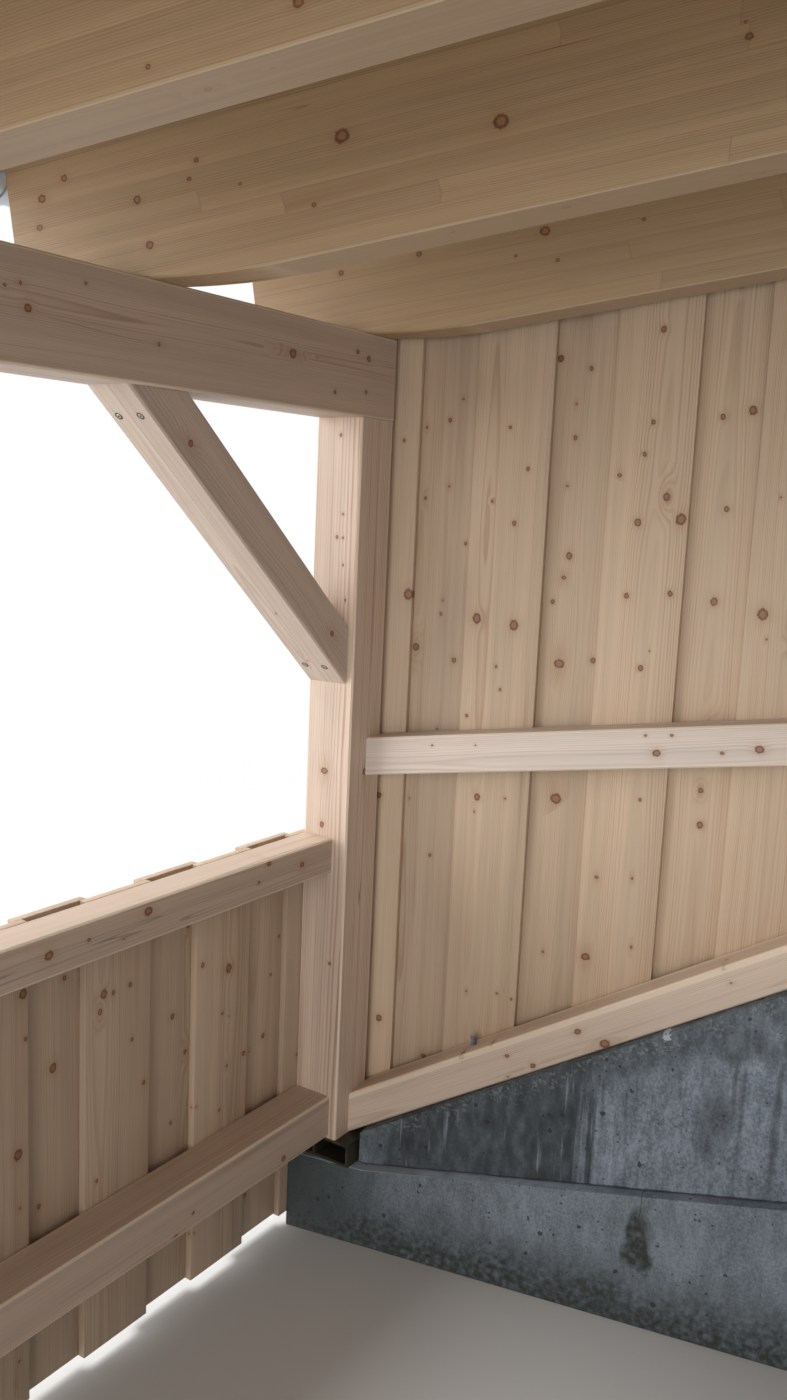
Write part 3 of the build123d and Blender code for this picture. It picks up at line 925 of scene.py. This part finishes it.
innerKnots = (  # height, distance along the wall, radius
    (1.899, 0.159, 0.004), (1.5, 0.19, 0.012), (1.937, 0.445, 0.004), (1.836, 0.498, 0.0045),
    (1.752, 0.408, 0.0035), (1.699, 0.47, 0.0055), (1.45, 0.384, 0.011), (1.44, 0.485, 0.011),
    (1.329, 0.444, 0.0035), (1.27, 0.458, 0.0035), (1.192, 0.371, 0.004), (2.171, 0.811, 0.0065),
    (1.955, 0.803, 0.005), (1.879, 0.788, 0.005), (1.715, 0.783, 0.008), (1.727, 0.887, 0.0115),
    (1.535, 0.769, 0.006), (1.547, 0.875, 0.006), (1.359, 0.817, 0.006), (1.513, 1.096, 0.0115),
    (0.945, 0.13, 0.007), (0.977, 0.412, 0.0075), (1.027, 0.841, 0.004), (0.437, 0.54, 0.003),
    (0.304, 0.159, 0.008))
outerKnots = (
    (1.954, 0.276, 0.005), (1.641, 0.336, 0.004), (1.453, 0.277, 0.004), (1.333, 0.32, 0.006),
    (2.107, 0.559, 0.007), (2.083, 0.638, 0.005), (1.916, 0.609, 0.005), (1.624, 0.613, 0.0075),
    (1.506, 0.578, 0.005), (1.365, 0.692, 0.006), (1.987, 1.03, 0.009), (1.971, 0.963, 0.006),
    (1.756, 0.989, 0.006), (1.534, 0.978, 0.008), (0.792, 0.28, 0.004), (0.978, 0.99, 0.0075))
cladWalls("side", "side", wallAlong, wallOut, (3, 57), "board", innerKnots, outerKnots)

streetInnerKnots = (
    (0.623, 0.86, 0.009), (0.617, 0.831, 0.005), (0.62, 0.779, 0.005), (0.554, 0.437, 0.01),
    (0.592, 0.534, 0.006), (0.362, 0.732, 0.005), (0.3, 0.37, 0.006), (0.696, 1.084, 0.009),
    (0.343, 1.099, 0.01), (-0.084, 1.136, 0.007), (0.595, 1.078, 0.004), (0.484, 0.772, 0.004),
    (0.44, 0.457, 0.004), (0.179, 0.878, 0.004), (0.179, 0.462, 0.004))
streetOuterKnots = (
    (0.481, 0.617, 0.006), (0.49, 0.988, 0.009), (0.306, 0.267, 0.006), (0.686, 0.956, 0.005),
    (0.709, 0.27, 0.006), (0.182, 1.028, 0.005), (0.204, 0.618, 0.004), (0.471, 0.241, 0.004),
    (0.571, 0.21, 0.004), (0.555, 0.9, 0.004))
cladWalls(
    "parapet", "street", leftward, streetward, (91, 133), "streetBoardShaded",
    streetInnerKnots, streetOuterKnots)
print("cladding ready")


# Roof boards: tongued boards laid along the front, with a small V at each joint below
deck = {
    "count": 40,
    "thick": 0.024,
    "vGroove": 0.0035,
    "gap": 0.0004,
    "spare": 0.4,  # cut off along the verges
    "yStreet": 0.37994,
    "yRear": -5.06,
    "xLeft": -3.2411,
    "xRight": 0.29,
    "zUnderAtStreet": 2.39966,
}
slope = math.tan(roofPitch)
fallLine = Vector((0, -math.cos(roofPitch), math.sin(roofPitch)))
deckStart = corner + Vector((0, deck["yStreet"], deck["zUnderAtStreet"]))
boardRun = (deck["yStreet"] - deck["yRear"]) / deck["count"]
boardStep = Vector((boardRun * math.tan(skew), -boardRun, boardRun * slope))
boardPitch = boardRun / math.cos(roofPitch)
deckWood = boardMaterial("deckWood", deckStart, fallLine, roofUp, boardPitch, 171, "deck", 0.8)


def skewCut(piece, xAtStreetFace, keepRight):
    # cuts along the slanting verge line, which passes x at the front face of the corner post
    editPiece(piece)
    pickAll()
    place = corner + Vector((xAtStreetFace, postSide, 0))
    bpy.ops.mesh.bisect(
        plane_co=place, plane_no=wallOut, use_fill=True,
        clear_inner=keepRight, clear_outer=not keepRight)
    leaveEdit()


def makeRoofBoards():
    width = boardPitch - deck["gap"]
    length = deck["xRight"] - deck["xLeft"] + deck["spare"]
    middleX = (deck["xRight"] + deck["xLeft"]) / 2
    piece = startBlock((length, width, deck["thick"]))
    editPiece(piece)
    lengthwise = 0.99 * length
    pick(piece, "EDGE", lambda e: e.calc_length() > lengthwise and e.verts[0].co.z < 0)
    bpy.ops.mesh.bevel(offset=deck["vGroove"])
    leaveEdit()
    piece.rotation_euler = (-roofPitch, 0, 0)
    place = deckStart + rightward * middleX
    piece.location = place + fallLine * (width / 2) + roofUp * (deck["thick"] / 2)
    settle(piece)
    skewCut(piece, deck["xLeft"], True)
    skewCut(piece, deck["xRight"], False)
    arrayed(piece, boardStep, deck["count"])
    finishPiece(piece, "roofBoards", deckWood, "deck", "roof_deck")


makeRoofBoards()
print("roof boards ready")


# Roof sheets: bays joined by standing seams that run up the roof with the rafters
roofSeam = {
    "sheet": 0.001,
    "count": 7,
    "height": 0.025,
    "neck": 0.004,
    "fold": 0.009,
    "lip": 0.0054,
    "round": 0.001,
    "edgeInset": 0.014,
    "taper": 0.05,  # how much shorter the fold is than the foot
    "rearStop": 0.185,
    "frontStop": 0.03,
}


def makeRoofSheets():
    sheet = mergedCopy("roof_covering")
    low, high = boxOf("roof_covering")
    yFront = high.y - roofSeam["frontStop"]
    yRear = low.y + roofSeam["rearStop"]
    length = (yRear - yFront) / rafterAlong.y
    fold = roofSeam["fold"]
    neckHeight = roofSeam["height"] - fold
    seam = startBlock((length, roofSeam["neck"], neckHeight))
    editPiece(seam)
    pick(seam, "FACE", lambda f: f.normal.z > 0.9)
    extrude(0, 0, fold)
    foldLow = neckHeight / 2
    pick(seam, "FACE", lambda f: f.normal.y > 0.9 and f.calc_center_median().z > foldLow)
    extrude(0, roofSeam["lip"], 0)
    pick(seam, "VERT", lambda v: v.co.z > foldLow - 0.001 and abs(v.co.x) > length / 2 - 0.001)
    shorter = 1 - roofSeam["taper"] / length
    bpy.ops.transform.resize(value=(shorter, 1, 1), center_override=(0, 0, 0))
    leaveEdit()
    bevelled(seam, roofSeam["round"])
    basis = Matrix((rafterAlong, roofUp.cross(rafterAlong), roofUp)).transposed()
    sheetTop = deckStart + roofUp * (deck["thick"] + roofSeam["sheet"])
    yMiddle = (yFront + yRear) / 2
    xAtMiddle = low.x + roofSeam["edgeInset"] + (high.y - yMiddle) * math.tan(skew)
    zAtMiddle = sheetTop.z + (sheetTop.y - yMiddle) * slope
    seam.rotation_euler = basis.to_euler()
    seam.location = Vector((xAtMiddle, yMiddle, zAtMiddle)) + roofUp * neckHeight / 2
    settle(seam)
    xSpan = high.x - low.x - (high.y - low.y) * math.tan(skew) - 2 * roofSeam["edgeInset"]
    arrayed(seam, (xSpan / (roofSeam["count"] - 1), 0, 0), roofSeam["count"])
    finishPiece(joined(sheet, seam), "roofSheets", metals["sheetPaint"], "roof_sheet", "roof_covering")


makeRoofSheets()
print("roof sheets ready")


# Gutter: a half-round trough with a rolled front bead and closed ends
gutterForm = {"wall": 0.001, "bead": 0.0045, "overlap": 0.0006}


def layCylinder(sides, radius, length, place):
    # lies along the front
    pickNone()
    bpy.ops.mesh.primitive_cylinder_add(
        vertices=sides, radius=radius, depth=length, location=place, rotation=(0, math.radians(90), 0))
    piece = bpy.context.object
    settle(piece)
    return piece


def makeGutter():
    low, high = boxOf("gutter")
    radius = (high.y - low.y) / 2
    length = high.x - low.x
    centre = (low + high) / 2
    centre.z = high.z
    trough = layCylinder(48, radius, length, centre)
    editPiece(trough)
    pickAll()
    bpy.ops.mesh.bisect(plane_co=centre, plane_no=(0, 0, 1), clear_outer=True)
    leaveEdit()
    applyModifier(trough, "SOLIDIFY", thickness=gutterForm["wall"], offset=-1)
    smoothPast(30)
    beadSize = gutterForm["bead"]
    beadOut = radius - gutterForm["overlap"]
    bead = layCylinder(16, beadSize, length, centre + Vector((0, beadOut, -beadSize)))
    editPiece(bead)
    pick(bead, "FACE", lambda f: abs(f.normal.x) > 0.9)
    bpy.ops.mesh.inset(thickness=beadSize * 0.35)
    bpy.ops.mesh.inset(thickness=beadSize * 0.2, depth=-0.004)
    leaveEdit()
    smoothPast(40)
    finishPiece(joined(trough, bead), "gutterTrough", metals["zinc"], "zinc", "gutter")


makeGutter()
print("gutter ready")


# Concrete lifts and footings: arrises broken by wear, rougher on top
cast = {
    "arris": 0.006,
    "jointArris": 0.0025,
    "step": 0.03,
    "crumble": 0.007,
    "grain": 0.035,
    "restBand": 0.012,  # the foot stays flat up to here
}


def makeConcrete(nodeName, name, material, crumble, arris):
    piece = mergedCopy(nodeName)
    bevelled(piece, arris)
    low, high = boxOf(nodeName)
    cuts = int(max(high.x - low.x, high.y - low.y) / cast["step"])
    editPiece(piece)
    for number in range(1, cuts):  # closely spaced cuts, so that the arrises can crumble
        pickAll()
        place = high - streetward * (cast["step"] * number)
        bpy.ops.mesh.bisect(plane_co=place, plane_no=wallAlong)
    leaveEdit()
    loose = piece.vertex_groups.new(name="loose")
    loose.add([v.index for v in piece.data.vertices if v.co.z > cast["restBand"]], 1, "REPLACE")
    clouds = bpy.data.textures.new(name + "Crumble", "CLOUDS")
    clouds.noise_scale = cast["grain"]
    applyModifier(
        piece, "DISPLACE", texture=clouds, texture_coords="LOCAL", vertex_group="loose", mid_level=0.85,
        strength=crumble)
    piece.vertex_groups.clear()
    smoothPast(20)
    finishPiece(piece, name, material, "concrete", nodeName)


upperConcrete = concreteMaterial("upperConcrete", concrete["upperTone"], True)
lowerConcrete = concreteMaterial("lowerConcrete", concrete["lowerTone"], False)
for nodeName, name, material, wear, arris in (
        ("concrete_upper_lift", "concreteUpperLift", upperConcrete, 1, cast["jointArris"]),
        ("concrete_lower_lift", "concreteLowerLift", lowerConcrete, 0.3, cast["jointArris"]),
        ("pier_front_left", "frontLeftFooting", lowerConcrete, 0.6, cast["arris"]),
        ("pier_rear_left", "rearLeftFooting", lowerConcrete, 0.6, cast["arris"])):
    makeConcrete(nodeName, name, material, cast["crumble"] * wear, arris)
print("concrete ready")


# Screws: one countersunk head with a round recess, copied to every fixing
screw = {"radius": 0.0046, "proud": 0.0007, "taper": 0.88, "recess": 0.46, "depth": 0.0016}
rails = {  # heights of the rails' middles behind the boards, by distance along
    "midStart": 1.0469,
    "midSlope": math.tan(midPitch),
    "lowOver": 0.0576,
    "levelOver": 0.05,
    "headStart": 2.3757,
    "headSlope": 0.1546,
    "sill": 0.804,
    "streetLow": 0.0645,
}


def makeScrewModel(radius):
    pickNone()
    bpy.ops.mesh.primitive_circle_add(vertices=16, radius=radius, fill_type="NGON")
    model = bpy.context.object
    editPiece(model)
    pickAll()
    extrude(0, 0, screw["proud"])
    taper = screw["taper"]
    bpy.ops.transform.resize(value=(taper, taper, 1), center_override=(0, 0, 0))
    bpy.ops.mesh.inset(thickness=radius * (taper - screw["recess"]))
    bpy.ops.mesh.inset(thickness=0.0001, depth=-screw["depth"])
    pick(model, "FACE", lambda f: f.normal.z < -0.9)
    bpy.ops.mesh.delete(type="FACE")  # the underside is in the wood
    leaveEdit()
    return model


def fixScrews(name, spots, radius):
    # spots are (place, way the head faces)
    model = makeScrewModel(radius)
    copies = []
    for place, facing in spots:
        copy = copyOf(model.data, name)
        copy.location = place
        copy.rotation_euler = Vector(facing).to_track_quat("Z", "Y").to_euler()
        copies.append(copy)
    bpy.data.objects.remove(model)
    settle(*copies)
    finishPiece(joined(*copies), name, metals["screwSteel"], "zinc")


def sideRows(u):
    if not cladding["firstScrew"] < u < cladding["lastScrew"]:
        return ()
    rise = min(max(u - concrete["slopeStart"], 0), concrete["slopeRun"])
    low = rise * concrete["slope"] + (rails["lowOver"] if u < slopeEnd else rails["levelOver"])
    return (low, rails["midStart"] + rails["midSlope"] * u, rails["headStart"] + rails["headSlope"] * u)


def wallScrews(along, out, pitch, rows, offsets, count, depth):
    # heads at each board's offsets from the wall's start, one at the height of each rail
    spots = []
    for board in range(count):
        for offset in offsets:
            reach = board * pitch + offset
            place = wallStart + along * reach + out * depth
            spots += [(place + upward * z, out) for z in rows(reach)]
    return spots


side = (wallAlong, wallOut, cladding["sidePitch"], sideRows)
street = (leftward, streetward, cladding["streetPitch"], lambda u: (rails["sill"], rails["streetLow"]))
spots = []
for wall, offsets, count, depth in (
        (side, (0.05, 0.15), 15, 0.02), (side, (0.236, 0.316), 14, 0.04),
        (street, (0.05, 0.15), 9, 0.02), (street, (0.24, 0.317), 9, 0.04)):
    spots += wallScrews(*wall, offsets, count, depth)
fixScrews("boardScrews", spots, screw["radius"])

spots = []
for name in braceNames:
    low, high = boxOf(name)
    side, along = braceWay(name)
    foot = Vector((high.x if side < 0 else low.x, low.y, low.z))
    facing = Vector((side * math.sin(braceAngle), 0, -math.cos(braceAngle)))
    spots += [
        (foot + along * reach + Vector((0, across, 0)), facing)
        for across in braceFixing["across"] for reach in braceFixing["alongBrace"]]
fixScrews("braceScrews", spots, braceFixing["head"])
print("screws ready")


# The small bent steel clip that lies on the sloped rail against the boards
clip = {
    "u": 0.4565,
    "out": -0.046,
    "over": 0.0616,  # above the middle of the rail
    "size": (0.016, 0.017, 0.0016),
    "taper": (0.8, 0.55, 1),
    "round": 0.0006,
    "folds": ((-0.005, 0.001, 0.0144), (-0.002, 0.003, 0.0096)),
    "heading": 30,
}


def makeRailClip():
    length, _, thick = clip["size"]
    piece = startBlock(clip["size"])
    editPiece(piece)
    pick(piece, "FACE", lambda f: f.normal.x > 0.9)
    extrude(thick, 0, 0)
    pick(piece, "FACE", lambda f: f.normal.z > 0.9 and f.calc_center_median().x > length / 2)
    for fold in clip["folds"]:
        extrude(*fold)
    bpy.ops.transform.resize(value=clip["taper"])
    leaveEdit()
    bevelled(piece, clip["round"])
    height = sideRows(clip["u"])[0] + clip["over"]
    piece.rotation_euler = (0, 0, math.radians(clip["heading"]))
    piece.location = wallStart + wallAlong * clip["u"] + wallOut * clip["out"] + upward * height
    settle(piece)
    finishPiece(piece, "railClip", metals["clipSteel"], "zinc")


makeRailClip()
print("clip ready")


# Stage: pale floor, white backdrop, soft light from the open side and the front
stage = {
    "floorSize": 80,
    "floorLook": {"Base Color": (0.6, 0.6, 0.59), "Roughness": 0.9, "Specular IOR Level": 0.1},
    "floorFade": (4.0, 9.0),  # where the floor turns to the white backdrop
    "skyLook": {"Color": (0.94, 0.97, 1.0), "Strength": 0.32},
    "lights": (  # name, place, aim, size, watts
        ("streetCornerLight", (-6.5, 9.0, 3.4), corner + Vector((0, -0.3, 1.3)), 8.0, 700),
        ("openSideLight", (-10.5, -1.5, 3.2), corner + Vector((0, -0.8, 0.8)), 7.0, 480),
        ("streetLight", (0.5, 5.8, 9.6), (0, 2.2, 1.2), 7, 1250),
        ("wallSideLight", (11, -2, 6.5), (1.5, 0, 1.2), 6, 800),
        ("rearLight", (-3, -8, 11), (0, -1, 2.0), 6, 800),
    ),
}


def addFloor():
    bpy.ops.mesh.primitive_plane_add(size=stage["floorSize"])
    floor = bpy.context.object
    floor.name = "floor"
    material, shader = newMaterial("floorPaint")
    feedAll(shader, stage["floorLook"])
    rays = wiresFrom("ShaderNodeLightPath")
    seen = most(rays["Is Camera Ray"], rays["Is Glossy Ray"])
    fade = smooth(vectorCalc("LENGTH", objectPlace()), *stage["floorFade"]) * seen
    white = wireFrom("ShaderNodeEmission")
    both = wireFrom("ShaderNodeMixShader", {0: fade, 1: wire(shader.outputs[0]), 2: white})
    feed(bench["tree"].nodes["Material Output"].inputs[0], both)
    floor.data.materials.append(material)


def addSky():
    world = bpy.data.worlds.new("sky")
    bpy.context.scene.world = world
    world.use_nodes = True
    bench["tree"] = world.node_tree
    world.node_tree.nodes.clear()
    rays = wiresFrom("ShaderNodeLightPath")
    seen = most(rays["Is Camera Ray"], most(rays["Is Glossy Ray"], rays["Is Transmission Ray"]))
    soft = wireFrom("ShaderNodeBackground", stage["skyLook"])
    white = wireFrom("ShaderNodeBackground", {"Color": (1, 1, 1)})
    both = wireFrom("ShaderNodeMixShader", {0: seen, 1: soft, 2: white})
    addNode("ShaderNodeOutputWorld", {0: both})


def addSoftbox(name, place, target, size, watts):
    aim = (Vector(target) - Vector(place)).to_track_quat("-Z", "Y").to_euler()
    bpy.ops.object.light_add(type="AREA", location=place, rotation=aim)
    lamp = bpy.context.object
    lamp.name = name
    lamp.data.shape = "DISK"
    lamp.data.size = size
    lamp.data.energy = watts


pickNone()
addFloor()
addSky()
for light in stage["lights"]:
    addSoftbox(*light)
print("stage ready")
